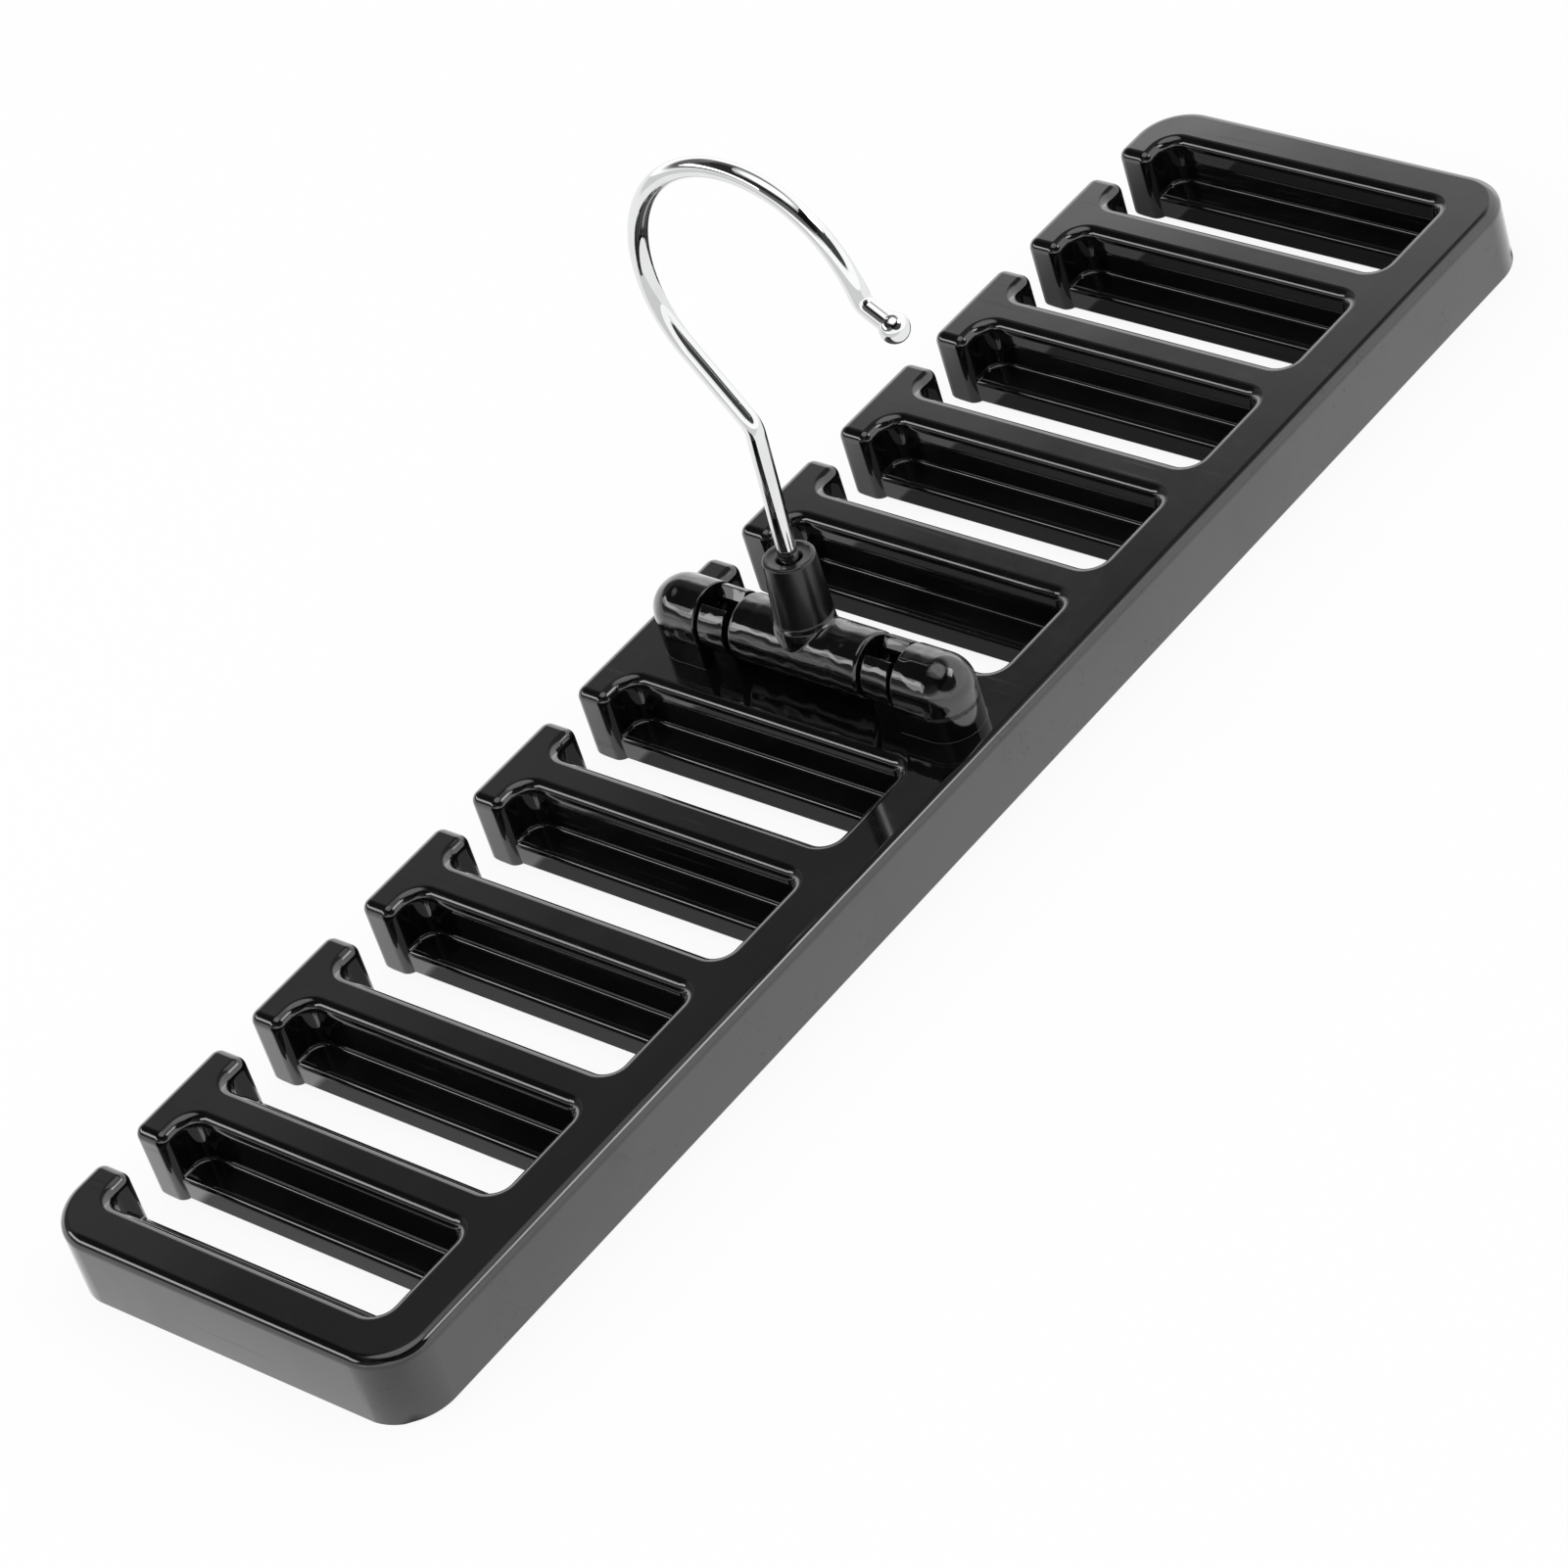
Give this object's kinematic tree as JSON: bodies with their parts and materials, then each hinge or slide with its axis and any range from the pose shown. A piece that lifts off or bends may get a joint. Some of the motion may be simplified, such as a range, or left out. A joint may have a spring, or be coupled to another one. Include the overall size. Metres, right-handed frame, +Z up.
{
  "type": "tie hanger",
  "caption": "Flat comb-like tie hanger with open slots between T-headed fingers, low ledges beside each finger, and a wire hook that folds and swivels on a hinge.",
  "frame": {"origin": "centre of the rack's flat underside", "axes": "+Z up through the hinge, +X along the rack, +Y from the closed spine towards the open mouths of the slots"},
  "size_m": [0.32, 0.0828, 0.1221],
  "materials": {
    "rack_plastic": "glossy black injection moulding",
    "yoke_plastic": "glossy black injection moulding",
    "hook_steel": "bright chrome plated wire",
    "ball_steel": "bright chrome plated ball"
  },
  "bodies": {
    "rack": {"spine": "rack_plastic", "end_arm_near": "rack_plastic", "end_arm_far": "rack_plastic", "finger_1": "rack_plastic", "finger_2": "rack_plastic", "finger_3": "rack_plastic", "finger_4": "rack_plastic", "finger_5": "rack_plastic", "finger_6": "rack_plastic", "finger_7": "rack_plastic", "finger_8": "rack_plastic", "middle_finger": "rack_plastic", "hinge_post_near": "rack_plastic", "hinge_post_far": "rack_plastic", "axle_clip_near": "rack_plastic", "axle_clip_far": "rack_plastic"},
    "yoke": {"hinge_yoke": "yoke_plastic"},
    "hook": {"hook_wire": "hook_steel", "ball_tip": "ball_steel"}
  },
  "joints": [
    {"name": "hinge_fold", "type": "hinge", "parent": "rack", "child": "yoke", "pos_m": [0, -0.00175, 0.02185], "axis": [0, 1, 0], "range_deg": [-93.4, 86.6]},
    {"name": "hook_swivel", "type": "hinge", "parent": "yoke", "child": "hook", "pos_m": [0, -0.00175, 0.02185], "axis": [0.0593, 0, 0.9982], "range_deg": [-180, 180]}
  ]
}
